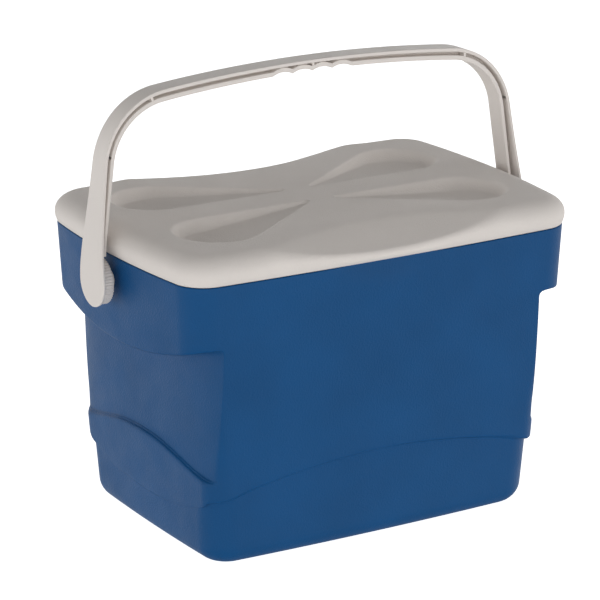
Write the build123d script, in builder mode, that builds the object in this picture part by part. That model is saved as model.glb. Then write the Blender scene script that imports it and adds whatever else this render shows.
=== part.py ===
"""Cooler chest: an insulated tub with a lift-off lid and a swinging carrying handle.

The frame's origin is the centre of the flat underside, with +Z up. X runs along the
long side of the chest, and -Y is the front. All sizes are in millimetres.
"""
import os
from math import cos, pi, radians, sin, tan

from build123d import *

# --- driving dimensions ------------------------------------------------------------
# a level is (height, half length, half width, bow of the short side, bow of the long
# side, corner radius): each side bulges out between its corners by its bow
body_height = 273.0
body_levels = [
    (0.0, 171.2, 121.2, 3.0, 4.3, 18.3),
    (102.0, 178.2, 127.0, 3.2, 4.7, 22.2),
    (191.0, 196.1, 132.2, 9.0, 5.1, 26.5),
    (body_height, 200.0, 136.9, 9.8, 5.4, 30.6),
]
wall = 3.0
reach = 400.0              # how far a cutting shape runs on past the object
play = 0.2                 # room left between two pieces of one body

# side recess under the collar, between the hump below and the smile above
recess_half_length = 176.5
recess_bow = 9.0
recess_half_width = 135.0
recess_stations = [40.0, 80.0, 120.0, 150.0]
hump_top, hump_drop, hump_half_width, hump_power = 101.5, 16.5, 120.0, 1.3
smile_low, smile_rise, smile_half_width = 191.0, 22.0, 130.0

# foot band, set in below a line that arches on the long sides and dips on the short ones
band_top = 101.0           # a level above all of the band
band_levels = [(0.0, 170.6, 118.6, 3.0, 4.3, 29.5), (band_top, 176.9, 123.6, 3.2, 4.7, 28.0)]
arch_top, arch_drop, arch_half_length, arch_power = 89.5, 22.5, 172.0, 1.8
arch_stations = [60.0, 120.0, arch_half_length]
dip_low, dip_rise, dip_half_width = 43.0, 22.0, 118.0
dip_stations = [45.0, 85.0, dip_half_width]
foot_radius = 18.0

# shallow finger scoop in the front and back walls, a slice of a large ball
scoop_ball, scoop_rim, scoop_centre = 520.0, 97.0, 345.0
scoop_y = body_levels[-1][2] + body_levels[-1][4] + (scoop_ball**2 - scoop_rim**2) ** 0.5

# inner tub
liner_wall = 2.5
liner_levels = [(24.0, 149.0, 101.0, 3.0, 3.0, 26.0), (body_height, 163.0, 114.5, 4.0, 3.5, 33.0)]
rim_thickness = 3.0

# lid
lid_bottom, lid_belly, lid_top_height = 273.5, 283.0, 300.0
lid_levels = [
    (lid_bottom, 199.6, 136.9, 9.8, 5.4, 30.6),
    (lid_belly, 202.0, 141.0, 10.6, 5.4, 38.0),
    (lid_top_height, 200.5, 139.5, 10.6, 5.4, 37.5),
]
lid_edge_radius = 16.0
lid_wall = 3.0
dish_low, dish_radius, dish_slope, dish_edge = 283.5, 612.0, 20.6, 145.0
dish_half_length, dish_lead = 210.0, 25.0
pan_thickness = 2.0
plug_levels = [(252.0, 156.8, 108.4, 3.5, 3.2, 28.0), (lid_bottom, 158.4, 110.0, 3.8, 3.4, 29.0)]
cup_centre, cup_radius, cup_shoulder_angle = (132.0, 60.0), 40.0, 115.0
cup_tip, cup_tip_width, cup_tip_recede = (13.0, 22.0), 3.0, 3.0
cup_depth, cup_draft, cup_tip_depth = 11.5, 8.0, 2.0
cup_leaving = (-0.8, -0.6)  # direction of a recess's outer edge as it reaches the tip

# handle: an arch of H section on two wide paddles, leaning back a little at rest.
# heights on the handle are measured up from the pivot, along the handle
pivot_height = 250.0
handle_lean = 1.5
crown_height, shoulder_height, knee_height = 177.7, 162.6, 24.5
arch_foot_span, arch_lean = 227.6, 0.122
shoulder_radius, inner_shoulder_radius, knee_radius = 71.0, 57.5, 300.0
web_thickness = 3.0
knee_depth, shoulder_depth, crown_depth = 9.0, 6.8, 9.5
outer_half_width, inner_half_width = 11.8, 10.5
paddle_radius, paddle_start = 23.0, 137.7
paddle_widths = [(13.6, 88.0), (20.0, 26.0)]    # half width of the outer flange, and the height
finger_pitch, finger_depth, finger_count = 21.0, 2.6, 4
outer_share, inner_share, grip_share = 0.26, 0.8, 0.5     # of the depth, to each flange and the grip
slot_overlap = 0.02
rib_thickness = 2.2
rib_places = [(0.0, 172.7, 0.0), (166.0, 160.0, 14.0), (204.5, 114.0, 72.0)]   # x, height, turn

# pivot hubs
hub_radius, hub_face, hub_thickness, hub_rib_count = 20.8, 216.0, 8.5, 48
rib_height, rib_width = 0.7, 1.3
hub_bore, boss_face = 12.0, 218.2
neck_radius, neck_length = 8.5, 7.0
stem_radius, lip_radius, lip_length, stem_end = 6.0, 7.0, 3.0, 193.0
running_gap, press_gap, end_gap = 0.08, 0.05, 1.0
boss_radius, boss_depth, boss_length = 11.0, 187.0, 19.5


# --- shared shapes -----------------------------------------------------------------
def blend(levels, height):
    """The level's sizes at a height between two given levels."""
    for low, high in zip(levels, levels[1:]):
        if height <= high[0]:
            share = (height - low[0]) / (high[0] - low[0])
            return [a + (b - a) * share for a, b in zip(low, high)]
    return list(levels[-1])


def bowed_outline(level, inset=0.0):
    """A rectangle with bowed sides and round corners, on the level's own plane."""
    height, half_length, half_width, bow_x, bow_y, corner = level
    a, b = half_length - inset, half_width - inset
    with BuildSketch(Plane.XY.offset(height)) as outline:
        with BuildLine():
            ThreePointArc((-a, -b), (0, -b - bow_y), (a, -b))
            ThreePointArc((a, -b), (a + bow_x, 0), (a, b))
            ThreePointArc((a, b), (0, b + bow_y), (-a, b))
            ThreePointArc((-a, b), (-a - bow_x, 0), (-a, -b))
        make_face()
        fillet(outline.vertices(), corner - inset)
    return outline.sketch


def lofted(levels, inset=0.0, bottom=None, top=None):
    """A solid through the levels' outlines, cut off at bottom and top."""
    bottom = levels[0][0] if bottom is None else bottom
    top = levels[-1][0] if top is None else top
    heights = [bottom] + [level[0] for level in levels if bottom < level[0] < top] + [top]
    outlines = [bowed_outline([h] + blend(levels, h)[1:], inset) for h in heights]
    with BuildPart() as body:
        loft(outlines, ruled=True)
    return body.part


def hump(y):
    """Height of the recess's lower edge."""
    share = min(1.0, abs(y) / hump_half_width) ** hump_power
    return hump_top - hump_drop * share * share * (3 - 2 * share)


def smile(y):
    """Height of the collar's lower edge."""
    return smile_low + smile_rise * (y / smile_half_width) ** 2


def arch(x):
    """Height of the foot band's upper edge on a long side."""
    return arch_top - arch_drop * min(1.0, abs(x) / arch_half_length) ** arch_power


def dip(y):
    """Height of the foot band's upper edge on a short side."""
    return dip_low + dip_rise * (abs(y) / dip_half_width) ** 3


def both_ways(stations):
    """The stations, their mirror images, and the middle."""
    return [-s for s in reversed(stations)] + [0.0] + list(stations)


def curve_points(height, stations, shift=0.0):
    """Points of a height curve at plus and minus each station."""
    return [(s, height(s) + shift) for s in both_ways(stations)]


def side_recesses(inset):
    """What is cut from both short sides, between the hump and the smile."""
    far = recess_stations[-1]
    plan = [
        (recess_half_length - inset - recess_bow * (y / recess_half_width) ** 4, y)
        for y in both_ways(recess_stations)
    ]
    lower = curve_points(hump, recess_stations, -inset)
    upper = curve_points(smile, recess_stations, inset)
    with BuildPart() as recess:
        with BuildSketch(Plane.XY):
            with BuildLine():
                Spline(plan)
                Polyline(plan[-1], (reach, far), (reach, -far), plan[0])
            make_face()
        extrude(amount=body_height)
        with BuildSketch(Plane.YZ):
            with BuildLine():
                Spline(lower)
                Line(lower[-1], upper[-1])
                Spline(upper)
                Line(upper[0], lower[0])
            make_face()
        extrude(amount=reach, mode=Mode.INTERSECT)
        mirror(about=Plane.YZ)
    return recess.part


def foot_band_ring(inset):
    """The ring that is cut away outside the foot band, with the foot's round edge."""
    foot = lofted(band_levels, inset, bottom=inset, top=band_top)
    long_line = curve_points(arch, arch_stations, inset)
    long_line = [(-reach, long_line[0][1])] + long_line + [(reach, long_line[-1][1])]
    short_line = curve_points(dip, dip_stations, inset)
    with BuildPart() as rounded_foot:
        add(foot)
        fillet(rounded_foot.edges().group_by(Axis.Z)[0], foot_radius - inset)
    with BuildPart() as ring:
        with BuildSketch(Plane.XZ):
            with BuildLine():
                Polyline((-reach, -play), (reach, -play), long_line[-1], long_line[-2])
                Spline(long_line[1:-1])
                Polyline(long_line[1], long_line[0], (-reach, -play))
            make_face()
        extrude(amount=reach, both=True)
        with BuildSketch(Plane.YZ):
            with BuildLine():
                Spline(short_line)
                Polyline(
                    short_line[-1], (dip_half_width, band_top), (reach, band_top),
                    (reach, -play), (-reach, -play), (-reach, band_top),
                    (-dip_half_width, band_top), short_line[0],
                )
            make_face()
        extrude(amount=reach, both=True, mode=Mode.INTERSECT)
        add(rounded_foot.part, mode=Mode.SUBTRACT)
    return ring.part


def body_form(inset, bottom, top):
    """The chest's outer form, moved in by inset everywhere."""
    hull = lofted(body_levels, inset, bottom, top)
    recess = side_recesses(inset)
    ring = foot_band_ring(inset)
    with BuildPart() as form:
        add(hull)
        add(recess, mode=Mode.SUBTRACT)
        add(ring, mode=Mode.SUBTRACT)
        with Locations((0, -scoop_y, scoop_centre), (0, scoop_y, scoop_centre)):
            Sphere(scoop_ball + inset, mode=Mode.SUBTRACT)
    return form.part


def export(part, name):
    """Label a finished piece and write its STEP file."""
    part.label = name
    export_step(part, f"parts/{name}.step")


# --- body --------------------------------------------------------------------------
def make_outer_shell():
    """Blue outer shell with a blind socket for each pivot hub."""
    form = body_form(0.0, 0.0, body_height)
    cavity = body_form(wall, wall, body_height)
    with BuildPart() as shell:
        add(form)
        add(cavity, mode=Mode.SUBTRACT)
        boss_plane = Plane(origin=(boss_depth, 0, pivot_height), x_dir=(0, 1, 0), z_dir=(1, 0, 0))
        with BuildSketch(boss_plane):
            Circle(boss_radius)
        extrude(amount=boss_length)
        with BuildSketch(boss_plane.offset(stem_end - boss_depth - end_gap)):
            Circle(stem_radius + running_gap)
        extrude(amount=reach, mode=Mode.SUBTRACT)
        with BuildSketch(boss_plane.offset(stem_end - boss_depth - end_gap)):
            Circle(lip_radius + running_gap)
        extrude(amount=lip_length + 2 * end_gap, mode=Mode.SUBTRACT)
        split(bisect_by=Plane.YZ, keep=Keep.TOP)
        mirror(about=Plane.YZ)
    return shell.part


def make_inner_liner():
    """White tub with a flat rim that reaches the shell's wall."""
    tub = lofted(liner_levels)
    hollow = lofted(liner_levels, liner_wall, bottom=liner_levels[0][0] + liner_wall)
    rim = lofted(body_levels, wall + play, bottom=body_height - rim_thickness)
    with BuildPart() as liner:
        add(rim)
        with Locations((0, -scoop_y, scoop_centre), (0, scoop_y, scoop_centre)):
            Sphere(scoop_ball + wall + play, mode=Mode.SUBTRACT)
        add(tub)
        add(hollow, mode=Mode.SUBTRACT)
    return liner.part


def make_body_insulation():
    """Foam that fills the space between the shell and the tub."""
    space = body_form(wall, wall, body_height - rim_thickness)
    tub = lofted(liner_levels)
    with BuildPart() as foam:
        add(space)
        add(tub, mode=Mode.SUBTRACT)
        with BuildSketch(Plane.YZ):
            with Locations((0, pivot_height)):
                Circle(boss_radius)
        extrude(amount=reach, both=True, mode=Mode.SUBTRACT)
    return foam.part


# --- lid ---------------------------------------------------------------------------
def cup_outline(height, inset, tip_height=None):
    """A teardrop with its round end at the corner and its tip near the lid's centre."""
    radius = cup_radius - inset
    cx, cy = cup_centre
    tip_x = cup_tip[0] + cup_tip_recede * inset
    inner_y, outer_y = cy - radius, cup_tip[1] + inset + cup_tip_width
    plane = Plane.XY.offset(height)
    if tip_height is not None:
        lean = (height - tip_height) / (cx - tip_x)
        plane = Plane(origin=(cx, cy, height), x_dir=(1, 0, lean), z_dir=(-lean, 0, 1))
        tip_x, inner_y, outer_y = tip_x - cx, inner_y - cy, outer_y - cy
        cx, cy = 0.0, 0.0
    turn = radians(cup_shoulder_angle)
    shoulder = (cx + radius * cos(turn), cy + radius * sin(turn))
    leaving = (-sin(turn), cos(turn))
    with BuildSketch(plane) as outline:
        with BuildLine():
            Line((tip_x, inner_y), (cx, inner_y))
            ThreePointArc((cx, inner_y), (cx + radius, cy), shoulder)
            Spline([shoulder, (tip_x, outer_y)], tangents=[leaving, cup_leaving])
            Line((tip_x, outer_y), (tip_x, inner_y))
        make_face()
    return outline.sketch


def cups(inset):
    """The lid's recesses, one in each corner."""
    with BuildPart() as recess:
        loft([
            cup_outline(lid_top_height + play, -inset),
            cup_outline(lid_top_height - cup_depth - inset, cup_draft - inset,
                        lid_top_height - cup_tip_depth - inset),
        ])
        mirror(about=Plane.XZ)
        mirror(about=Plane.YZ)
    return recess.part


def dish(inset):
    """What is cut from the lid's front and back top edges, a wide tilted trough."""
    slope = tan(radians(dish_slope))
    start = dish_edge + dish_lead
    low = dish_low - inset - dish_lead * slope
    end = dish_half_length
    rise = end * end / (2 * dish_radius)
    with BuildPart() as trough:
        with BuildSketch(Plane.XZ.offset(start)):
            with BuildLine():
                ThreePointArc((-end, low + rise), (0, low), (end, low + rise))
                Polyline((end, low + rise), (end, reach), (-end, reach), (-end, low + rise))
            make_face()
        extrude(amount=start, dir=(0, cos(radians(dish_slope)), sin(radians(dish_slope))))
        mirror(about=Plane.XZ)
    return trough.part


def lid_form(inset):
    """The lid's outer form, moved in by inset everywhere but at its lower edge."""
    top = lid_top_height - inset
    block = lofted(lid_levels, inset, top=top)
    trough = dish(inset)
    recess = cups(inset)
    with BuildPart() as form:
        add(block)
        fillet(form.edges().group_by(Axis.Z)[-1], lid_edge_radius - inset)
        add(trough, mode=Mode.SUBTRACT)
        add(recess, mode=Mode.SUBTRACT)
    return form.part


def make_lid_top():
    """Grey lid shell with four cup recesses and a dished edge front and back."""
    form = lid_form(0.0)
    cavity = lid_form(lid_wall)
    with BuildPart() as shell:
        add(form)
        add(cavity, mode=Mode.SUBTRACT)
    return shell.part


def plug_hollow():
    """The space inside the plug, open at the top through the pan's border."""
    floor = plug_levels[0][0] + pan_thickness
    lower = lofted(plug_levels, pan_thickness, bottom=floor)
    with BuildPart() as hollow:
        add(lower)
        add(bowed_outline(plug_levels[-1], pan_thickness))
        extrude(amount=pan_thickness)
    return hollow.part


def make_lid_pan():
    """White underside of the lid: a flat border and a plug that fits the tub's mouth."""
    border = lofted(lid_levels, lid_wall + play, top=lid_bottom + pan_thickness)
    plug = lofted(plug_levels)
    hollow = plug_hollow()
    with BuildPart() as pan:
        add(border)
        add(plug)
        add(hollow, mode=Mode.SUBTRACT)
    return pan.part


def make_lid_insulation():
    """Foam that fills the lid above its pan, and the plug."""
    space = lid_form(lid_wall)
    hollow = plug_hollow()
    with BuildPart() as foam:
        add(space)
        split(bisect_by=Plane.XY.offset(lid_bottom + pan_thickness), keep=Keep.TOP)
        add(hollow)
    return foam.part


# --- handle ------------------------------------------------------------------------
lean_angle = radians(handle_lean)
front_plane = Plane(
    origin=(0, 0, pivot_height), x_dir=(1, 0, 0), z_dir=(0, -cos(lean_angle), sin(lean_angle))
)
side_plane = Plane(
    origin=(0, 0, pivot_height), x_dir=(0, cos(lean_angle), -sin(lean_angle)), z_dir=(1, 0, 0)
)


def arch_region(depth):
    """All inside the arch below a share of its depth: 0 is its outer face, 1 its inner one."""
    knee_x = arch_foot_span - depth * knee_depth
    foot = (knee_x, -2 * paddle_radius)
    knee = (knee_x, knee_height)
    lean_in = arch_lean * (shoulder_height - knee_height)
    shoulder = (
        arch_foot_span - lean_in - depth * shoulder_depth, shoulder_height - depth * crown_depth
    )
    crown = crown_height - depth * crown_depth
    radius = shoulder_radius + depth * (inner_shoulder_radius - shoulder_radius)
    with BuildSketch() as region:
        with BuildLine():
            Polyline((-shoulder[0], shoulder[1]), (-knee[0], knee[1]), (-foot[0], foot[1]),
                     foot, knee, shoulder)
            ThreePointArc(shoulder, (0, crown), (-shoulder[0], shoulder[1]))
        make_face()
        fillet(region.vertices().group_by(Axis.Y)[-1], radius)
        fillet(region.vertices().group_by(Axis.Y)[1], knee_radius)
    return region.sketch


def arch_band(outer, inner):
    """The band of the arch between two shares of its depth."""
    with BuildSketch() as band:
        add(arch_region(outer))
        add(arch_region(inner), mode=Mode.SUBTRACT)
    return band.sketch


def paddle_profile():
    """The outer flange seen from the end: narrow at the crown, a round paddle at the pivot."""
    top = crown_height + paddle_radius
    narrow = [(outer_half_width, paddle_start)] + paddle_widths + [(paddle_radius, 0)]
    with BuildSketch() as profile:
        with BuildLine():
            Line((0, top), (outer_half_width, top))
            Line((outer_half_width, top), narrow[0])
            Spline(narrow, tangents=[(0, -1), (0, -1)])
            ThreePointArc(
                narrow[-1], (paddle_radius * sin(pi / 4), -paddle_radius * sin(pi / 4)),
                (0, -paddle_radius)
            )
            mirror(about=Plane.YZ)
        make_face()
    return profile.sketch


def slot_ribs(slot):
    """The cross ribs that tie the two flanges together, across the slot between them."""
    with BuildSketch() as ribs:
        for x, height, turn in rib_places:
            with Locations(Location((x, height, 0), (0, 0, -turn))):
                Rectangle(rib_thickness, 2 * crown_depth)
        mirror(about=Plane.YZ)
        add(slot, mode=Mode.INTERSECT)
    return ribs.sketch


def finger_grip():
    """A thicker stretch of the inner flange with four shallow finger scallops."""
    chord = finger_pitch / 2
    radius = (chord**2 + finger_depth**2) / (2 * finger_depth)
    with BuildSketch() as grip:
        add(arch_band(grip_share, 1.0))
        with Locations((0, crown_height)):
            Rectangle(finger_count * finger_pitch, 4 * crown_depth, mode=Mode.INTERSECT)
        with GridLocations(finger_pitch, 1, finger_count, 1):
            with Locations((0, crown_height - crown_depth + finger_depth - radius)):
                Circle(radius, mode=Mode.SUBTRACT)
    return grip.sketch


def make_handle():
    """Grey arch of H section, its outer flange widening into a paddle at each pivot."""
    outer_band = arch_band(0.0, outer_share)
    slot_band = arch_band(outer_share - slot_overlap, inner_share + slot_overlap)
    inner_band = arch_band(inner_share, 1.0)
    ribs = slot_ribs(slot_band)
    grip = finger_grip()
    profile = paddle_profile()
    with BuildPart() as outer_flange:
        with BuildSketch(front_plane):
            add(outer_band)
        extrude(amount=reach, both=True)
        with BuildSketch(side_plane):
            add(profile)
        extrude(amount=reach, both=True, mode=Mode.INTERSECT)
    with BuildPart() as handle:
        with BuildSketch(front_plane):
            add(inner_band)
            add(grip)
        extrude(amount=inner_half_width, both=True)
        with BuildSketch(front_plane):
            add(slot_band)
        extrude(amount=web_thickness / 2, both=True)
        with BuildSketch(front_plane):
            add(ribs)
        extrude(amount=inner_half_width, both=True)
        with BuildSketch(side_plane):
            Circle(hub_radius + rib_height + 2 * play)
            with Locations((0, -reach / 2)):
                Rectangle(reach, reach)
        extrude(amount=reach, both=True, mode=Mode.SUBTRACT)
        add(outer_flange.part)
        for side in (1, -1):
            with BuildSketch(side_plane.offset(side * boss_face)):
                Circle(hub_bore)
            extrude(amount=side * (arch_foot_span - outer_share * knee_depth / 2 - boss_face))
    return handle.part


def make_pivot_hub(side):
    """Ribbed hub behind a paddle, with the stem that turns in the shell's socket."""
    plane = Plane(origin=(side * hub_face, 0, pivot_height), x_dir=(0, 1, 0), z_dir=(side, 0, 0))
    with BuildPart() as hub:
        with BuildSketch(plane):
            Circle(hub_radius)
            with PolarLocations(hub_radius, hub_rib_count):
                Rectangle(2 * rib_height, rib_width)
        extrude(amount=hub_thickness)
        with BuildSketch(plane.offset(boss_face - hub_face - play)):
            Circle(hub_bore + press_gap)
        extrude(amount=hub_thickness, mode=Mode.SUBTRACT)
        with BuildSketch(plane):
            Circle(neck_radius)
        extrude(amount=-neck_length)
        with BuildSketch(plane):
            Circle(stem_radius)
        extrude(amount=-(hub_face - stem_end))
        with BuildSketch(plane.offset(stem_end - hub_face)):
            Circle(lip_radius)
        extrude(amount=lip_length)
        chamfer(hub.faces().sort_by(Axis.X)[0 if side > 0 else -1].edges(), lip_radius - stem_radius)
    return hub.part


os.makedirs("parts", exist_ok=True)
export(make_outer_shell(), "outer_shell")
export(make_inner_liner(), "inner_liner")
export(make_body_insulation(), "body_insulation")
export(make_lid_top(), "lid_top")
export(make_lid_pan(), "lid_pan")
export(make_lid_insulation(), "lid_insulation")
export(make_handle(), "handle")
export(make_pivot_hub(-1), "pivot_hub_left")
export(make_pivot_hub(1), "pivot_hub_right")
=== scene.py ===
"""Looks of the cooler chest: moulded shells, lid, handle and hubs built as smooth meshes.

Sizes are in millimetres, in the CAD frame, and each mesh is scaled to metres as it is made.
"""
from math import cos, pi, radians, sin, tan

import bmesh
import bpy
import numpy as np
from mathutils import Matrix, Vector


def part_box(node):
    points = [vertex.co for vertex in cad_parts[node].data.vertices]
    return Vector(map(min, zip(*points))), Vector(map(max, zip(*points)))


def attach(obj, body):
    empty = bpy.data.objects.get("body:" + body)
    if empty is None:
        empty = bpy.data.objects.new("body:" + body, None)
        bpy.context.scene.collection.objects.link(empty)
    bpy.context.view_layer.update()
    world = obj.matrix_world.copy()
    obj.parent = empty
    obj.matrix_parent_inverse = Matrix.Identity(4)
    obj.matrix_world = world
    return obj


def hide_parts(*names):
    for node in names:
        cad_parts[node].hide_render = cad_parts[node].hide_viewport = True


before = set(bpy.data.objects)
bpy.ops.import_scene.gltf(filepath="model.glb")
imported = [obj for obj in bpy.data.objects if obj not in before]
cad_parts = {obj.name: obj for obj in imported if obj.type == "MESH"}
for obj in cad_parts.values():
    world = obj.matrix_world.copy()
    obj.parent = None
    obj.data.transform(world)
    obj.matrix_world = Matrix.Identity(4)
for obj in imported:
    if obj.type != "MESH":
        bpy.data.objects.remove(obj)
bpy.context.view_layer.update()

MM = 0.001


def node_box(node):
    """Lowest and highest corner of a CAD node, in millimetres."""
    low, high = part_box(node)
    return np.array(low) / MM, np.array(high) / MM


shell_high = node_box("outer_shell")[1]
lid_low, lid_high = node_box("lid_top")
hub_low, hub_high = node_box("pivot_hub_right")
bail_high = node_box("handle")[1]

# --- body ---------------------------------------------------------------------------
body_top = shell_high[2]
# each level: height, half length, half width, bow of the short side, of the long one, corner
body_levels = [
    (0.0, 171.2, 121.2, 3.0, 4.3, 18.3),
    (102.0, 178.2, 127.0, 3.2, 4.7, 22.2),
    (191.0, 196.1, 132.2, 9.0, 5.1, 26.5),
    (body_top, 200.0, 136.9, 9.8, 5.4, 30.6),
]
wall = 3.0
ledge_draft = 0.6       # how much each ledge slopes
recess_half_length, recess_bow, recess_half_width, recess_power = 176.5, 9.0, 135.0, 4
recess_edge = 2.0
hump_top, hump_drop, hump_half_width, hump_power = 101.5, 16.5, 120.0, 1.3
hump_lift, hump_lift_start, hump_lift_reach = 30.0, 163.0, 60.0    # on the long sides
smile_low, smile_rise, smile_half_width = 191.0, 22.0, 130.0
smile_edge, smile_root = 3.0, 5.0
hump_edge, hump_root = 5.0, 3.0
# the foot band's own outline at the ground and at a level above it
band_levels = [(0.0, 170.6, 118.6, 3.0, 4.3, 29.5), (101.0, 176.9, 123.6, 3.2, 4.7, 28.0)]
band_edge, band_root = 1.8, 0.7
arch_top, arch_drop, arch_half_length, arch_power = 89.5, 22.5, 172.0, 1.8
dip_low, dip_rise, dip_half_width, dip_power, dip_turn = 43.0, 22.0, 118.0, 3, 12.0
# the line's drop at the corners, which keeps the foam inside the band's step, and where it starts
corner_drop, corner_start, corner_reach = 2.0, (135.0, 85.0), (35.0, 30.0)
foot_radius = 18.0
scoop_ball, scoop_rim, scoop_height, scoop_edge = 520.0, 97.0, 345.0, 0.5
rim_radius = 1.2
scoop_centre = body_levels[-1][2] + body_levels[-1][4] + (scoop_ball**2 - scoop_rim**2) ** 0.5

# --- lid ----------------------------------------------------------------------------
lid_bottom, lid_top = lid_low[2], lid_high[2]
lid_corner = 38.0
lid_bow_x, lid_bow_y = 10.6, 5.4
lid_lower = (199.6, 136.9, 9.8, 5.4, 30.6)
lid_belly = (lid_high[0] - lid_bow_x, lid_high[1] - lid_bow_y, lid_bow_x, lid_bow_y, lid_corner)
lid_wall, lip_radius = 3.0, 0.9
lid_counts = (76, 22, 50)       # points of a quarter: long side, corner, short side
brow_long, brow_high, brow_tight = 23.0, 16.5, 5.0
dish_low, dish_edge, dish_radius, dish_slope = 283.5, 145.0, 612.0, tan(radians(20.6))
dish_blend = 2.5

# lid recesses
cup_x, cup_y, cup_radius = 132.0, 60.0, 39.5
cup_tip_x, cup_tip_y, cup_tip_radius = 17.0, 22.5, 3.0
cup_depth, cup_tip_depth, cup_lip = 11.5, 2.5, 0.9
cup_wall, cup_tip_wall_share, cup_wall_power = 8.5, 0.35, 2.2

# --- handle -------------------------------------------------------------------------
pivot_height = (hub_low[2] + hub_high[2]) / 2
handle_lean = radians(1.5)
span, arch_lean = bail_high[0], 0.128
crown_height, shoulder_height, knee_height = 177.65, 162.6, 24.5
knee_depth, shoulder_depth, crown_depth = 9.4, 9.4, 10.8
shoulder_radius, inner_shoulder_radius, knee_radius = 71.0, 59.0, 300.0
# the slot between the flanges, as shares of the depth, at the crown and at the knees
crown_slot, knee_slot = (0.30, 0.60), (0.25, 0.68)
web_overlap = 0.08
web_half, inner_half_width, flange_edge = 1.5, 10.5, 0.7
paddle_radius = 23.0
finger_pitch, finger_depth, finger_count = 21.0, 2.6, 4
# stations along the crown, as shares of its half, closer together at the finger grip
crown_stations = np.concatenate([np.linspace(1, 0.3, 30), np.linspace(0.3, 0, 56)[1:]])
# the outer flange's half width and its slope at heights above the pivot
flange_heights = np.array([0.0, 26.0, 88.0, 137.7])
flange_widths = np.array([paddle_radius, 20.0, 13.6, 11.8])
flange_slopes = np.array([0.0, -0.135, -0.066, 0.0])
rib_size = (2.2, 5.2, 20.4)
rib_places = [(0, 0.0), (0, 166.0), (1, 114.0)]    # where x is 0 or 166, and where the height is 114

# --- hubs ---------------------------------------------------------------------------
hub_face, hub_back = 216.0, hub_high[0]
hub_radius, hub_rib_height, hub_rib_count, hub_edge = 20.8, 0.7, 48, 0.8
points_per_rib = 8
# the stem's lip, stem and neck from the pivot's inner end: distance from the middle, radius
stem_profile = [
    (193.0, 3.0), (193.0, 6.0), (194.0, 7.0), (196.0, 7.0), (196.0, 6.0), (209.0, 6.0),
    (209.0, 8.5), (214.5, 8.5), (hub_face, 9.6), (hub_face, 16.0),
]
hollow_profile = [(hub_back, 12.0), (218.1, 12.0), (218.1, 4.0)]     # the hub's open back
# edges sharper than this stay sharp
sharp_angle, hub_sharp_angle = radians(38), radians(40)


# --- small mathematics --------------------------------------------------------------
def smooth(t):
    """Smooth step of an array, from 0 to 1."""
    t = np.clip(t, 0.0, 1.0)
    return t * t * (3 - 2 * t)


def soft_min(a, b, k):
    """The smaller of two, with a rounding of about k where they meet."""
    return 0.5 * (a + b - np.sqrt((a - b) ** 2 + k * k))


def outline(half_length, half_width, bow_x, bow_y, corner, counts=(44, 22, 50)):
    """Bowed rectangle with round corners, as points and outward normals, from the front's middle."""
    radius_y = (half_length**2 + bow_y**2) / (2 * bow_y)
    radius_x = (half_width**2 + bow_x**2) / (2 * bow_x)
    centre_y = radius_y - half_width - bow_y
    centre_x = half_length + bow_x - radius_x
    at = np.array([half_length - corner, corner - half_width])
    for _ in range(30):
        to_y = np.array([at[0], at[1] - centre_y])
        to_x = np.array([at[0] - centre_x, at[1]])
        far_y, far_x = np.linalg.norm(to_y), np.linalg.norm(to_x)
        miss = np.array([far_y - radius_y + corner, far_x - radius_x + corner])
        at = at - np.linalg.solve(np.array([to_y / far_y, to_x / far_x]), miss)
    start = np.arctan2(at[1] - centre_y, at[0])
    end = np.arctan2(at[1], at[0] - centre_x)
    n_long, n_corner, n_short = counts
    pieces = [
        ((0.0, centre_y), radius_y, -pi / 2 + (start + pi / 2) * crowded(n_long)[:-1]),
        (tuple(at), corner, np.linspace(start, end, n_corner + 1)[:-1]),
        ((centre_x, 0.0), radius_x, end * crowded(n_short)[:0:-1]),
    ]
    points, normals = [], []
    for centre, radius, turn in pieces:
        normal = np.stack([np.cos(turn), np.sin(turn)], 1)
        points.append(np.array(centre) + radius * normal)
        normals.append(normal)
    quarter = np.concatenate(points), np.concatenate(normals)
    return all_round(quarter[0], (half_length + bow_x, 0.0)), all_round(quarter[1], (1.0, 0.0))


def crowded(n):
    """Shares from 0 to 1 that crowd together towards 1."""
    even = np.linspace(0, 1, n + 1)
    return 0.6 * np.sin(even * pi / 2) + 0.4 * even


def all_round(quarter, side):
    """A whole ring from the quarter that runs from the front's middle to the right side's middle."""
    right = np.vstack([quarter, [side]])
    back = (quarter * [1, -1])[::-1]
    half = np.vstack([right, back])
    left = (half[1:-1] * [-1, 1])[::-1]
    return np.vstack([half, left])


def ring(points, heights):
    """Plan points and heights as one ring of 3-D points."""
    return np.column_stack([points, np.broadcast_to(heights, len(points))])


def towards_centre(edge, shares, height):
    """Rings that shrink from an edge ring to the middle, at heights from a function of the plan."""
    return [ring(edge * (1 - s), height(edge * (1 - s))) for s in shares]


# --- meshes -------------------------------------------------------------------------
def plain_object(name, points, faces):
    """An object from points in millimetres, with doubled points merged and its faces outwards."""
    mesh = bpy.data.meshes.new(name)
    mesh.from_pydata([tuple(p) for p in np.asarray(points) * MM], [], faces)
    build = bmesh.new()
    build.from_mesh(mesh)
    bmesh.ops.remove_doubles(build, verts=build.verts, dist=1e-6)
    bmesh.ops.recalc_face_normals(build, faces=build.faces)
    build.to_mesh(mesh)
    build.free()
    plain = bpy.data.objects.new(name, mesh)
    bpy.context.scene.collection.objects.link(plain)
    return plain


def mesh_object(name, points, faces, material, body, slot, replaced):
    """A smooth closed mesh that rides on a body and stands for a CAD node."""
    piece = plain_object(name, points, faces)
    piece.data.shade_smooth()
    piece.data.materials.append(material)
    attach(piece, body)
    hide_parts(replaced)
    return piece


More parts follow.
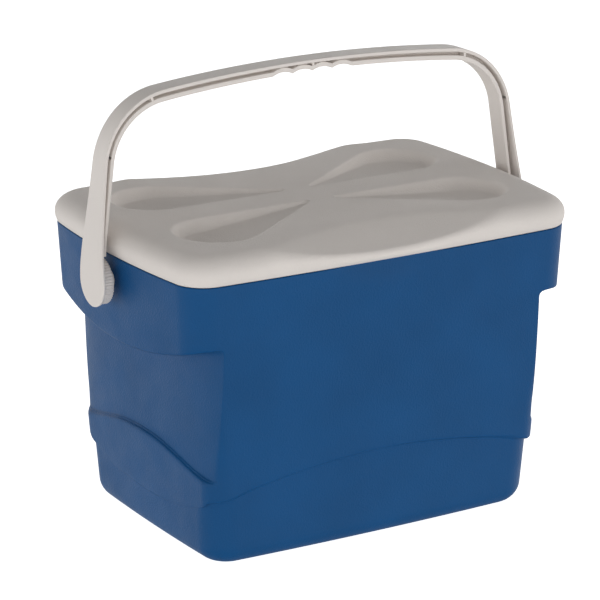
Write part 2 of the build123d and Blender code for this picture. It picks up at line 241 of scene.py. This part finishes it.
def sock(rings):
    """Points and faces of a closed skin through rings, with a fan over the first and the last."""
    count = len(rings[0])
    points = np.vstack([rings[0].mean(0)] + list(rings) + [rings[-1].mean(0)])
    last = len(points) - 1
    faces = [(0, 1 + (i + 1) % count, 1 + i) for i in range(count)]
    for row in range(len(rings) - 1):
        a, b = 1 + row * count, 1 + (row + 1) * count
        faces += [(a + i, a + (i + 1) % count, b + (i + 1) % count, b + i) for i in range(count)]
    b = 1 + (len(rings) - 1) * count
    faces += [(b + i, b + (i + 1) % count, last) for i in range(count)]
    return points, faces


# --- outer shell --------------------------------------------------------------------
def level_outlines(levels, inset):
    """Level outlines moved in by inset, their heights, and the outward normals."""
    lines = [
        outline(a - inset, b - inset, bow_x, bow_y, max(corner - inset, 3.0))
        for _, a, b, bow_x, bow_y, corner in levels
    ]
    return [points for points, _ in lines], [level[0] for level in levels], lines[0][1]


def plan_at(stations, heights):
    """Plan points between the level outlines at one height for each station."""
    outlines, levels, _ = stations
    result = np.array(outlines[0])
    for low, high, below, above in zip(levels, levels[1:], outlines, outlines[1:]):
        share = np.clip((heights - low) / (high - low), 0.0, None if high == levels[-1] else 1.0)
        share = np.broadcast_to(share, len(below))[:, None]
        result = result + (above - below) * share
    return result


def recess_depth(plan, inset):
    """How far the side recess lies inside the body, along X, at each plan point."""
    x, y = np.abs(plan[:, 0]), plan[:, 1]
    surface = recess_half_length - inset - recess_bow * (y / recess_half_width) ** recess_power
    return x - soft_min(x, surface, recess_edge)


def band_line(plan):
    """Height of the foot band's upper edge at each plan point."""
    x, y = np.abs(plan[:, 0]), np.abs(plan[:, 1])
    arch = arch_top - arch_drop * np.minimum(1.0, x / arch_half_length) ** arch_power
    dip = dip_low + dip_rise * (y / dip_half_width) ** dip_power
    turn = smooth((y - dip_half_width + dip_turn * 2 / 3) / dip_turn)
    near_x = smooth((x - corner_start[0]) / corner_reach[0])
    near_y = smooth((y - corner_start[1]) / corner_reach[1])
    return dip * (1 - turn) + arch * turn - corner_drop * near_x * near_y


def hump_line(plan):
    """Height of the recess's lower edge, lifted clear of the foot band on the long sides."""
    share = np.minimum(1.0, np.abs(plan[:, 1]) / hump_half_width) ** hump_power
    clear = hump_lift * smooth((hump_lift_start - np.abs(plan[:, 0])) / hump_lift_reach)
    return hump_top - hump_drop * smooth(share) + clear


def smile_line(plan):
    """Height of the collar's lower edge."""
    return smile_low + smile_rise * (plan[:, 1] / smile_half_width) ** 2


def scooped(points, inset):
    """Points with the shallow finger scoops pressed into the front and the back."""
    x, y, z = points.T
    ball = scoop_ball + inset
    surface = scoop_centre - np.sqrt(ball**2 - x**2 - (z - scoop_height) ** 2)
    return np.column_stack([x, np.sign(y) * soft_min(np.abs(y), surface, scoop_edge), z])


def shell_rings(inset):
    """Rings of the shell's surface, moved in by inset, from the middle of its floor to its rim."""
    body, foot_band = level_outlines(body_levels, inset), level_outlines(band_levels, inset)
    reference = plan_at(body, hump_top)
    band = band_line(reference) + inset
    hump = hump_line(reference) - inset
    smile = smile_line(plan_at(body, smile_low)) + inset
    side = np.column_stack([np.sign(reference[:, 0]), np.zeros(len(reference))])
    edges = [max(size - inset, 0.4) for size in (band_edge, hump_edge, smile_edge)]
    roots = [size + inset for size in (band_root, hump_root, smile_root)]
    foot = foot_radius - inset
    turns = [radians(a) for a in (0, 22.5, 45, 67.5, 90)]
    rings = []

    def add(plan, heights):
        rings.append(scooped(ring(plan, heights), inset))

    def add_wall(heights, recess=0.0):
        depth = np.broadcast_to(recess, len(side))[:, None]
        add(plan_at(body, heights) - side * depth, heights)

    # floor and foot
    sole = plan_at(foot_band, inset) - foot_band[2] * foot
    rings.extend(towards_centre(sole, (0.94, 0.8, 0.6, 0.4, 0.2, 0.1, 0.03), lambda p: inset))
    for turn in np.linspace(0, pi / 2, 11):
        height = inset + foot * (1 - cos(turn))
        add(plan_at(foot_band, height) - foot_band[2] * foot * (1 - sin(turn)), height)
    # foot band up to the step
    step = band - ledge_draft - roots[0]
    for share in np.linspace(0, 1, 9)[1:]:
        height = inset + foot + (step - inset - foot) * share
        add(plan_at(foot_band, height), height)
    low, high = plan_at(foot_band, step), plan_at(body, band)
    width = np.linalg.norm(high - low, axis=1)[:, None]
    for turn in turns[1:]:
        out = np.minimum(roots[0] / width, 0.4) * (1 - cos(turn))
        add(low + (high - low) * out, step + roots[0] * sin(turn))
    for turn in turns[:-1]:
        back = np.minimum(edges[0] / width, 0.4) * (1 - sin(turn))
        add(high - (high - low) * back, band + edges[0] * (1 - cos(turn)))
    # lower wall up to the hump
    start, finish = band + edges[0], hump - edges[1]
    for share in np.linspace(0, 1, 9):
        add_wall(start + (finish - start) * share)
    # hump: convex edge, ledge, concave root
    start = hump + ledge_draft + roots[1]
    depth = recess_depth(plan_at(body, start), inset)
    squeeze = np.minimum(1.0, depth / (edges[1] + roots[1]))
    near, far = edges[1] * squeeze, depth - roots[1] * squeeze
    for turn in turns[1:]:
        add_wall(finish + edges[1] * sin(turn), near * (1 - cos(turn)))
    add_wall(hump + ledge_draft / 2, (near + far) / 2)
    for turn in turns[:-1]:
        add_wall(start - roots[1] * cos(turn), far + roots[1] * squeeze * sin(turn))
    # recess wall
    finish = smile - ledge_draft - roots[2]
    for share in np.linspace(0, 1, 18):
        height = start + (finish - start) * share
        add_wall(height, recess_depth(plan_at(body, height), inset))
    # smile: concave root, ledge, convex edge
    depth = recess_depth(plan_at(body, finish), inset)
    squeeze = np.minimum(1.0, depth / (edges[2] + roots[2]))
    near, far = edges[2] * squeeze, depth - roots[2] * squeeze
    for turn in turns[1:]:
        add_wall(finish + roots[2] * sin(turn), far + roots[2] * squeeze * cos(turn))
    for share in (0.2, 0.4, 0.6, 0.8):
        add_wall(smile - ledge_draft * (1 - share), far + (near - far) * share)
    for turn in turns[:-1]:
        add_wall(smile + edges[2] * (1 - cos(turn)), near * (1 - sin(turn)))
    # collar and its rim
    start, finish = smile + edges[2], body_top - (0.0 if inset else rim_radius)
    for share in np.linspace(0, 1, 15):
        add_wall(start + (finish - start) * share)
    if not inset:
        for turn in turns[1:]:
            height = finish + rim_radius * sin(turn)
            add(plan_at(body, height) - body[2] * rim_radius * (1 - cos(turn)), height)
    return rings


def make_shell(material):
    """The blue outer shell, with its wall's thickness."""
    rings = shell_rings(0.0) + shell_rings(wall)[::-1]
    return mesh_object("shell", *sock(rings), material, "chest", "blue_shell", "outer_shell")


# --- lid ----------------------------------------------------------------------------
def teardrop(x, y):
    """Distance inwards from a recess's outline, the hull of a large circle and a small one."""
    x, y = np.abs(x), np.abs(y)
    along = np.array([cup_x - cup_tip_x, cup_y - cup_tip_y])
    length = np.hypot(*along)
    along = along / length
    across = np.array([-along[1], along[0]])
    from_tip = np.stack([x - cup_tip_x, y - cup_tip_y], -1)
    u, v = from_tip @ along, np.abs(from_tip @ across)
    lean = (cup_radius - cup_tip_radius) / length
    rise = np.sqrt(1 - lean**2)
    place = v * lean + u * rise
    side = v * rise - u * lean - cup_tip_radius
    tip = np.hypot(u, v) - cup_tip_radius
    end = np.hypot(u - length, v) - cup_radius
    return -np.where(place < 0, tip, np.where(place > length * rise, end, side))


def cup_floor(x, y):
    """How deep the lid's recesses are at each plan point."""
    inside = teardrop(x, y)
    inside = 0.5 * (inside + np.sqrt(inside**2 + cup_lip**2))
    along = np.clip((np.abs(x) - cup_tip_x) / (cup_x - cup_tip_x), 0.0, 1.0)
    depth = cup_tip_depth + (cup_depth - cup_tip_depth) * along
    width = cup_wall * (cup_tip_wall_share + (1 - cup_tip_wall_share) * along)
    return depth * (1 - (1 - np.minimum(inside / width, 1.0)) ** cup_wall_power)


def lid_crown(x, y):
    """Height of the lid's upper surface before its recesses."""
    dish = dish_low + dish_slope * (dish_edge - np.abs(y)) + x**2 / (2 * dish_radius)
    return soft_min(dish, lid_top, dish_blend)


def lid_height(x, y):
    """Height of the lid's upper surface at each plan point."""
    return lid_crown(x, y) - cup_floor(x, y)


def hollow_height(plan):
    """Height of the skin's inner surface, below the deepest recess."""
    return lid_crown(plan[:, 0], plan[:, 1]) - cup_depth - lid_wall


def lid_rings():
    """Rings of the lid's skin: outside from its middle down to the lip, then back inside."""
    lower, _ = outline(*lid_lower, counts=lid_counts)
    belly, normals = outline(*lid_belly, counts=lid_counts)
    step = 1.0
    edge_height = lid_height(belly[:, 0], belly[:, 1])
    inward = belly - normals * step
    slope = np.arctan((lid_height(inward[:, 0], inward[:, 1]) - edge_height) / step)
    share = smooth((edge_height - dish_low - 1) / (lid_top - dish_low - 2))
    flat = brow_tight + (brow_long - brow_tight) * share
    tall = brow_tight + (brow_high - brow_tight) * share
    sweep = pi / 2 - np.maximum(slope, 0.0)
    brow_end = belly - normals * (flat * (1 - np.cos(sweep)))[:, None]
    start = lid_height(brow_end[:, 0], brow_end[:, 1]) - tall * np.sin(sweep)

    def top_ring(plan):
        return ring(plan, lid_height(plan[:, 0], plan[:, 1]))

    def brow_ring(part, thick):
        turn = sweep * part
        plan = belly - normals * (flat * (1 - np.cos(turn)) + thick * np.cos(turn))[:, None]
        return ring(plan, start + tall * np.sin(turn) - thick * np.sin(turn))

    def skirt_ring(share, thick, height=None):
        low = lid_bottom + lip_radius
        z = low + (start - low) * share if height is None else np.full(len(start), height)
        rise = np.clip((z - lid_bottom) / (start - lid_bottom), 0, 1)
        bulge = 1 - (1 - rise) ** 2
        plan = lower + (belly - lower) * bulge[:, None] - normals * thick
        return ring(plan, z)

    outside = [top_ring(brow_end * (1 - s)) for s in np.linspace(0.97, 0, 121)[:-1]]
    outside += [brow_ring(part, 0.0) for part in np.linspace(1, 0, 15)]
    outside += [skirt_ring(share, 0.0) for share in np.linspace(1, 0, 9)[1:]]
    lip = []
    for turn in (30, 60, 90):
        turn = radians(turn)
        height = lid_bottom + lip_radius * (1 - sin(turn))
        lip.append(skirt_ring(0, lip_radius * (1 - cos(turn)), height))
    inside = [skirt_ring(0, lid_wall, lid_bottom)]
    inside += [skirt_ring(share, lid_wall) for share in np.linspace(0, 1, 4)[1:]]
    inside += [brow_ring(part, lid_wall) for part in np.linspace(0, 1, 7)[1:]]
    inside += towards_centre(brow_end, (0.15, 0.4, 0.7, 0.96), hollow_height)
    return outside + lip + inside


def make_lid(material):
    """The grey lid skin, dished at the front and back, with four teardrop recesses."""
    return mesh_object("lid_skin", *sock(lid_rings()), material, "lid", "grey_plastic", "lid_top")


# --- handle -------------------------------------------------------------------------
def arch_line(depth):
    """Half of the arch at a share of its depth, as points (x, height) from the pivot to the crown."""
    knee_x = span - depth * knee_depth
    knee = np.array([knee_x, knee_height])
    shoulder_x = span - arch_lean * (shoulder_height - knee_height) - depth * shoulder_depth
    shoulder = np.array([shoulder_x, shoulder_height - depth * crown_depth])
    crown = crown_height - depth * crown_depth
    drop = crown - shoulder[1]
    crown_radius = (shoulder[0] ** 2 + drop**2) / (2 * drop)
    centre = np.array([0.0, crown - crown_radius])
    radius = shoulder_radius + depth * (inner_shoulder_radius - shoulder_radius)
    along = (shoulder - knee) / np.linalg.norm(shoulder - knee)
    outward = np.array([along[1], -along[0]])
    base = knee - radius * outward - centre
    middle = base @ along
    reach = -middle + np.sqrt(middle**2 - base @ base + (crown_radius - radius) ** 2)
    turn_centre = knee - radius * outward + reach * along
    # knee: an arc from the vertical foot to the leaning arm
    lean = np.arctan2(-along[0], along[1])
    tangent = knee_radius * np.tan(lean / 2)
    knee_centre = np.array([knee_x - knee_radius, knee_height - tangent])
    knee_turns = np.linspace(0, lean, 9)
    knee_arc = knee_centre + knee_radius * np.column_stack([np.cos(knee_turns), np.sin(knee_turns)])
    arm_end = turn_centre + radius * outward
    arm = knee_arc[-1] + (arm_end - knee_arc[-1]) * np.linspace(0, 1, 18)[1:-1, None]
    to_crown = (turn_centre - centre) / np.linalg.norm(turn_centre - centre)
    first, last = np.arctan2(outward[1], outward[0]), np.arctan2(to_crown[1], to_crown[0])
    turns = np.linspace(first, last, 29)
    bend = turn_centre + radius * np.column_stack([np.cos(turns), np.sin(turns)])
    crown_x = bend[-1][0] * crown_stations[1:]
    top = np.column_stack([crown_x, centre[1] + np.sqrt(crown_radius**2 - crown_x**2)])
    foot_top = knee_arc[0][1]
    return knee_x, foot_top, np.vstack([knee_arc, arm, bend, top])


def flange_half_width(height):
    """Half width of the outer flange: narrow at the crown, a round paddle at the pivot."""
    h = np.clip(height, 0.0, flange_heights[-1])
    i = np.clip(np.searchsorted(flange_heights, h) - 1, 0, len(flange_heights) - 2)
    run = flange_heights[i + 1] - flange_heights[i]
    t = (h - flange_heights[i]) / run
    cubic = (
        flange_widths[i] * (1 + 2 * t) * (1 - t) ** 2
        + flange_slopes[i] * run * t * (1 - t) ** 2
        + flange_widths[i + 1] * t * t * (3 - 2 * t)
        + flange_slopes[i + 1] * run * t * t * (t - 1)
    )
    below = np.sqrt(np.maximum(paddle_radius**2 - np.minimum(height, 0.0) ** 2, 0.0))
    return np.where(height < 0, below, cubic)


def on_handle(x, height, across):
    """Points of the leaning handle in the CAD frame."""
    y = height * sin(handle_lean) + across * cos(handle_lean)
    z = pivot_height + height * cos(handle_lean) - across * sin(handle_lean)
    return np.stack(np.broadcast_arrays(x, y, z), -1)


def mirrored(line):
    """The whole arch from its half, whose last point is on the middle."""
    other = line[:-1] * [-1, 1]
    return np.vstack([line, other[::-1]])


def slot_shares(height):
    """Where the slot starts and ends, as shares of the depth, at each height."""
    low = smooth((shoulder_height - height) / (shoulder_height - knee_height))
    return [a + (b - a) * low for a, b in zip(crown_slot, knee_slot)]


def swept(outer, inner, section):
    """Rings through stations; section gives (share of depth, across) loops for each station."""
    rings = []
    for i, (a, b) in enumerate(zip(outer, inner)):
        loop = section(i)
        at = a + (b - a) * loop[:, :1]
        rings.append(on_handle(at[:, 0], at[:, 1], loop[:, 1]))
    return rings


def rounded_loop(near, far, half, edge_share, edge):
    """A loop round a flange between two shares of depth, with round edges."""
    turns = [radians(a) for a in (0, 30, 60, 90)]
    quarter = [(near + edge_share * (1 - sin(t)), half - edge * (1 - cos(t))) for t in turns[::-1]]
    far_quarter = [(far - edge_share * (1 - sin(t)), half - edge * (1 - cos(t))) for t in turns]
    right = [(near, 0.0), (near, half / 2)] + quarter + far_quarter + [(far, half / 2), (far, 0.0)]
    left = [(s, -w) for s, w in right[1:-1]][::-1]
    return np.array(right + left)


def outer_flange():
    """The wide outer flange, from paddle to paddle."""
    knee_x, foot_top, half = arch_line(0.0)
    inner_x, _, inner_half = arch_line(1.0)
    drops = -paddle_radius * np.sin(np.linspace(pi / 2, 0, 20))
    feet = np.concatenate([drops, np.linspace(0, foot_top, 4)[1:-1]])
    foot = np.column_stack([np.full(len(feet), knee_x), feet])
    inner_foot = np.column_stack([np.full(len(feet), inner_x), feet])
    outer = mirrored(np.vstack([foot, half]))
    inner = mirrored(np.vstack([inner_foot, inner_half]))
    widths = flange_half_width(outer[:, 1])
    start, _ = slot_shares(outer[:, 1])

    def section(i):
        width = max(widths[i], 0.02)
        edge = min(flange_edge, width / 2)
        depth = np.linalg.norm(inner[i] - outer[i])
        return rounded_loop(0.0, start[i], width, flange_edge / depth, edge)

    return sock(swept(outer, inner, section))


def scallop(x):
    """How deep the finger scallops are along the grip, from 0 at each cusp to 1."""
    chord = finger_pitch / 2
    radius = (chord**2 + finger_depth**2) / (2 * finger_depth)
    from_middle = (x % finger_pitch) - chord
    depth = np.sqrt(radius**2 - from_middle**2) - (radius - finger_depth)
    return np.where(np.abs(x) < finger_count / 2 * finger_pitch, depth, 0.0)


def inner_frame():
    """The web and the inner flange, between the hubs."""
    _, _, half = arch_line(0.0)
    _, _, inner_half = arch_line(1.0)
    keep = half[:, 1] > hub_radius + 1.5
    outer, inner = mirrored(half[keep]), mirrored(inner_half[keep])
    start, end = slot_shares(outer[:, 1])
    wave = scallop(inner[:, 0]) / crown_depth
    near, far = end - wave, 1.0 - wave

    def section(i):
        depth = np.linalg.norm(inner[i] - outer[i])
        flange = rounded_loop(near[i], far[i], inner_half_width, flange_edge / depth, flange_edge)
        root = start[i] - web_overlap
        web = [(root, 0.0), (root, web_half), (near[i], web_half)]
        back = [(share, -across) for share, across in web[:0:-1]]
        return np.array(web + list(flange[2:-1]) + back)

    return sock(swept(outer, inner, section))


def block(centre, axes, sizes):
    """Points and faces of a box with its own axes."""
    corners = [
        np.array(centre) + sum(s * d * np.array(a) / 2 for s, d, a in zip(signs, sizes, axes))
        for signs in [(i, j, k) for i in (-1, 1) for j in (-1, 1) for k in (-1, 1)]
    ]
    faces = [(0, 1, 3, 2), (4, 6, 7, 5), (0, 4, 5, 1), (2, 3, 7, 6), (0, 2, 6, 4), (1, 5, 7, 3)]
    return np.array(corners), faces


def handle_ribs():
    """Small cross ribs that tie the two flanges together."""
    _, _, middle = arch_line(sum(crown_slot) / 2)
    origin = on_handle(0.0, 0.0, 0.0)
    ribs = []
    for column, value in rib_places:
        i = np.argmin(np.abs(middle[:-1, column] - value))
        along = middle[i + 1] - middle[i]
        along = along / np.linalg.norm(along)
        for side in ((1,) if value == 0 else (1, -1)):
            x, height = side * middle[i][0], middle[i][1]
            axes = [
                on_handle(side * along[0], along[1], 0.0) - origin,
                on_handle(side * along[1], -along[0], 0.0) - origin,
                on_handle(0.0, 0.0, 1.0) - origin,
            ]
            ribs.append(block(on_handle(x, height, 0.0), axes, rib_size))
    return ribs


def joined(base, others):
    """The union of a mesh with others, which are then removed."""
    for other in others:
        union = base.modifiers.new("union", "BOOLEAN")
        union.operation = "UNION"
        union.solver = "EXACT"
        union.object = other
    graph = bpy.context.evaluated_depsgraph_get()
    mesh = bpy.data.meshes.new_from_object(base.evaluated_get(graph))
    for other in others + [base]:
        bpy.data.objects.remove(other)
    return mesh


def make_handle(material):
    """The grey bail of H section with its paddles, ribs and finger grip."""
    base = plain_object("flange", *outer_flange())
    others = [plain_object("frame", *inner_frame())]
    others += [plain_object("rib", *rib) for rib in handle_ribs()]
    mesh = joined(base, others)
    mesh.name = "bail"
    mesh.shade_smooth()
    mesh.set_sharp_from_angle(angle=sharp_angle)
    mesh.materials.append(material)
    piece = bpy.data.objects.new("bail", mesh)
    bpy.context.scene.collection.objects.link(piece)
    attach(piece, "handle")
    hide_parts("handle")


# --- hubs ---------------------------------------------------------------------------
def make_hub(side, name, node, material):
    """A ribbed hub with its neck and stem, turned about the pivot's axis."""
    edge = hub_edge
    rim_profile = [
        (hub_face, hub_radius - edge),
        (hub_face + 0.25 * edge, hub_radius - 0.3 * edge),
        (hub_face + edge, hub_radius),
        (hub_back - edge, hub_radius),
        (hub_back - 0.25 * edge, hub_radius - 0.3 * edge),
        (hub_back, hub_radius - edge),
    ]
    count = hub_rib_count * points_per_rib
    turns = np.arange(count) * 2 * pi / count
    wave = smooth(0.5 + 0.9 * np.cos(turns * hub_rib_count))
    rings = []
    for x, radius in stem_profile + rim_profile + hollow_profile:
        on_rim = radius >= hub_radius - edge - 0.01
        r = radius + hub_rib_height * wave * on_rim
        rings.append(np.column_stack([
            np.full(len(turns), side * x), r * np.cos(turns), pivot_height + r * np.sin(turns),
        ]))
    piece = mesh_object(name, *sock(rings), material, "handle", "grey_plastic", node)
    piece.data.set_sharp_from_angle(angle=hub_sharp_angle)


# --- materials ----------------------------------------------------------------------
drift_scale, patch_scale = 14.0, 40.0           # of the colour's and the gloss's drift, per metre
noise_low, noise_high = 0.3, 0.7                # where most of a noise lies
gloss_spread = 0.05
pebble_blend, fine_scale, fine_share = 0.6, 2.2, 0.35
cell_scale = 900.0
grey = (0.80, 0.75, 0.71)


def new_material(name):
    """An empty node material, its nodes, links and Principled shader."""
    material = bpy.data.materials.new(name)
    material.use_nodes = True
    nodes, links = material.node_tree.nodes, material.node_tree.links
    nodes.clear()
    output = nodes.new("ShaderNodeOutputMaterial")
    shader = nodes.new("ShaderNodeBsdfPrincipled")
    links.new(shader.outputs["BSDF"], output.inputs["Surface"])
    return material, nodes, links, shader


def noise(nodes, links, coordinates, scale, detail=2.0, roughness=0.5):
    """A noise texture of a given scale per metre."""
    texture = nodes.new("ShaderNodeTexNoise")
    texture.inputs["Scale"].default_value = scale
    texture.inputs["Detail"].default_value = detail
    texture.inputs["Roughness"].default_value = roughness
    links.new(coordinates, texture.inputs["Vector"])
    return texture.outputs["Fac"]


def ranged(nodes, links, value, low, high, from_low=0.0, from_high=1.0):
    """A value mapped to another range."""
    mapped = nodes.new("ShaderNodeMapRange")
    mapped.inputs["From Min"].default_value = from_low
    mapped.inputs["From Max"].default_value = from_high
    mapped.inputs["To Min"].default_value = low
    mapped.inputs["To Max"].default_value = high
    links.new(value, mapped.inputs["Value"])
    return mapped.outputs["Result"]


def moulded_plastic(name, colour, roughness, grain_size, grain_height, specular=0.15, tone=0.06):
    """Moulded plastic with a pebble grain, faint tone drift and uneven gloss."""
    material, nodes, links, shader = new_material(name)
    place = nodes.new("ShaderNodeTexCoord").outputs["Object"]
    drift = noise(nodes, links, place, drift_scale, 3.0)
    mix = nodes.new("ShaderNodeMix")
    mix.data_type = "RGBA"
    mix.inputs[6].default_value = tuple(c * (1 - tone) for c in colour) + (1.0,)
    mix.inputs[7].default_value = tuple(min(1.0, c * (1 + tone)) for c in colour) + (1.0,)
    links.new(ranged(nodes, links, drift, 0.0, 1.0, noise_low, noise_high), mix.inputs["Factor"])
    links.new(mix.outputs[2], shader.inputs["Base Color"])
    shader.inputs["Specular IOR Level"].default_value = specular
    pebbles = nodes.new("ShaderNodeTexVoronoi")
    pebbles.feature = "SMOOTH_F1"
    pebbles.inputs["Scale"].default_value = 1.0 / (grain_size * MM)
    pebbles.inputs["Smoothness"].default_value = pebble_blend
    links.new(place, pebbles.inputs["Vector"])
    fine = noise(nodes, links, place, fine_scale / (grain_size * MM), 1.0)
    height = nodes.new("ShaderNodeMath")
    height.operation = "MULTIPLY_ADD"
    links.new(fine, height.inputs[0])
    height.inputs[1].default_value = fine_share
    links.new(pebbles.outputs["Distance"], height.inputs[2])
    bump = nodes.new("ShaderNodeBump")
    bump.inputs["Strength"].default_value = 1.0
    bump.inputs["Distance"].default_value = grain_height * MM
    links.new(height.outputs["Value"], bump.inputs["Height"])
    links.new(bump.outputs["Normal"], shader.inputs["Normal"])
    patch = noise(nodes, links, place, patch_scale, 2.0)
    rough = ranged(nodes, links, patch, roughness - gloss_spread, roughness + gloss_spread,
                   noise_low, noise_high)
    links.new(rough, shader.inputs["Roughness"])
    return material


def foam_material():
    """Pale rigid foam with fine cells."""
    material, nodes, links, shader = new_material("foam")
    place = nodes.new("ShaderNodeTexCoord").outputs["Object"]
    cells = nodes.new("ShaderNodeTexVoronoi")
    cells.inputs["Scale"].default_value = cell_scale
    links.new(place, cells.inputs["Vector"])
    mix = nodes.new("ShaderNodeMix")
    mix.data_type = "RGBA"
    mix.inputs[6].default_value = (0.78, 0.70, 0.46, 1.0)
    mix.inputs[7].default_value = (0.90, 0.84, 0.62, 1.0)
    links.new(cells.outputs["Distance"], mix.inputs["Factor"])
    links.new(mix.outputs[2], shader.inputs["Base Color"])
    bump = nodes.new("ShaderNodeBump")
    bump.inputs["Distance"].default_value = 0.0003
    links.new(cells.outputs["Distance"], bump.inputs["Height"])
    links.new(bump.outputs["Normal"], shader.inputs["Normal"])
    shader.inputs["Roughness"].default_value = 0.9
    return material


def dress(node, material):
    """Give a CAD node its material."""
    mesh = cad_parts[node].data
    mesh.materials.clear()
    mesh.materials.append(material)


# --- stage --------------------------------------------------------------------------
camera_azimuth, camera_elevation = radians(-30.87), radians(17.63)
camera_distance, camera_right, camera_up = 3.1604, -0.0087, 0.1866
camera_lens = 199.07


def make_camera():
    """A long lens at the front left, a little above the lid."""
    back = Vector((
        sin(camera_azimuth) * cos(camera_elevation),
        -cos(camera_azimuth) * cos(camera_elevation),
        sin(camera_elevation),
    ))
    right = Vector((cos(camera_azimuth), sin(camera_azimuth), 0.0))
    up = back.cross(right)
    data = bpy.data.cameras.new("camera")
    data.lens = camera_lens
    data.clip_end = 50.0
    camera = bpy.data.objects.new("camera", data)
    camera.location = back * camera_distance + right * camera_right + up * camera_up
    camera.rotation_mode = "QUATERNION"
    camera.rotation_quaternion = (-back).to_track_quat("-Z", "Y")
    bpy.context.scene.collection.objects.link(camera)
    bpy.context.scene.camera = camera


def area_light(name, azimuth, elevation, distance, size, power):
    """A soft square light that faces the chest. Azimuth 0 is in front, and 90 is to the right."""
    a, e = radians(azimuth), radians(elevation)
    away = Vector((sin(a) * cos(e), -cos(a) * cos(e), sin(e)))
    data = bpy.data.lights.new(name, "AREA")
    data.shape = "SQUARE"
    data.size = size
    data.energy = power
    light = bpy.data.objects.new(name, data)
    light.location = Vector((0, 0, 0.2)) + away * distance
    light.rotation_mode = "QUATERNION"
    light.rotation_quaternion = away.to_track_quat("Z", "Y")
    bpy.context.scene.collection.objects.link(light)


# the studio's brightness against the sine of the elevation: bright near the horizon,
# dark from 22 to 38 degrees up, and dim overhead and straight below
sky_levels = [
    (-1.0, 0.3), (-0.6, 0.4), (-0.5, 0.95), (-0.2, 1.1), (0.0, 1.35), (0.3, 1.35),
    (0.38, 0.04), (0.62, 0.04), (0.72, 0.26), (1.0, 0.27),
]
sky_brightest = 1.35
sky_turn, sky_lean = (-0.45, -0.9, 0.0), 0.12      # a little brighter at the front left


def make_world():
    """White to the camera, and a studio of uneven brightness for everything else."""
    world = bpy.data.worlds.new("studio")
    bpy.context.scene.world = world
    world.use_nodes = True
    nodes, links = world.node_tree.nodes, world.node_tree.links
    nodes.clear()
    direction = nodes.new("ShaderNodeTexCoord").outputs["Generated"]
    parts = nodes.new("ShaderNodeSeparateXYZ")
    links.new(direction, parts.inputs[0])
    ramp = nodes.new("ShaderNodeValToRGB")
    stops = ramp.color_ramp.elements
    middle = [stops.new((place + 1) / 2) for place, _ in sky_levels[1:-1]]
    for stop, (_, level) in zip([stops[0]] + middle + [stops[-1]], sky_levels):
        stop.color = (level / sky_brightest,) * 3 + (1.0,)
    links.new(ranged(nodes, links, parts.outputs[2], 0.0, 1.0, -1.0, 1.0), ramp.inputs["Fac"])
    turn = nodes.new("ShaderNodeVectorMath")
    turn.operation = "DOT_PRODUCT"
    turn.inputs[1].default_value = sky_turn
    links.new(direction, turn.inputs[0])
    strength = ranged(nodes, links, turn.outputs["Value"], sky_brightest * (1 - sky_lean),
                      sky_brightest * (1 + sky_lean), -1.0, 1.0)
    fill = nodes.new("ShaderNodeBackground")
    links.new(ramp.outputs["Color"], fill.inputs["Color"])
    links.new(strength, fill.inputs["Strength"])
    seen = nodes.new("ShaderNodeBackground")
    seen.inputs["Strength"].default_value = 1.0
    seen.inputs["Color"].default_value = (1.0, 1.0, 1.0, 1.0)
    path = nodes.new("ShaderNodeLightPath")
    mix = nodes.new("ShaderNodeMixShader")
    output = nodes.new("ShaderNodeOutputWorld")
    links.new(path.outputs["Is Camera Ray"], mix.inputs[0])
    links.new(fill.outputs[0], mix.inputs[1])
    links.new(seen.outputs[0], mix.inputs[2])
    links.new(mix.outputs[0], output.inputs["Surface"])


def make_floor():
    """A plain pale floor, too bright for a shadow, that lets light from below reach the chest."""
    half, level = 6.0, -0.0005
    corners = [(-half, -half), (half, -half), (half, half), (-half, half)]
    mesh = bpy.data.meshes.new("floor")
    mesh.from_pydata([(x, y, level) for x, y in corners], [], [(0, 1, 2, 3)])
    floor = bpy.data.objects.new("floor", mesh)
    bpy.context.scene.collection.objects.link(floor)
    material, nodes, links, shader = new_material("floor")
    shader.inputs["Base Color"].default_value = (0.9, 0.9, 0.9, 1.0)
    shader.inputs["Roughness"].default_value = 1.0
    shader.inputs["Specular IOR Level"].default_value = 0.0
    shader.inputs["Emission Color"].default_value = (1.0, 1.0, 1.0, 1.0)
    shader.inputs["Emission Strength"].default_value = 1.0
    mesh.materials.append(material)
    floor.visible_diffuse = False
    floor.visible_glossy = False
    floor.visible_shadow = False


blue = moulded_plastic("blue_plastic", (0.005, 0.076, 0.226), 0.42, 1.6, 0.22)
lid_grey = moulded_plastic("lid_plastic", grey, 0.55, 1.4, 0.22, tone=0.02)
handle_grey = moulded_plastic("handle_plastic", grey, 0.42, 0.9, 0.015, tone=0.015)
white = moulded_plastic("liner_plastic", (0.86, 0.86, 0.84), 0.35, 2.0, 0.02, tone=0.01)
foam = foam_material()

make_shell(blue)
make_lid(lid_grey)
make_handle(handle_grey)
make_hub(-1, "hub_left", "pivot_hub_left", handle_grey)
make_hub(1, "hub_right", "pivot_hub_right", handle_grey)
dress("inner_liner", white)
dress("lid_pan", white)
dress("body_insulation", foam)
dress("lid_insulation", foam)

bpy.context.scene.view_settings.view_transform = "Standard"
make_world()
area_light("side", 90, 50, 3.0, 2.4, 12)
make_floor()
make_camera()
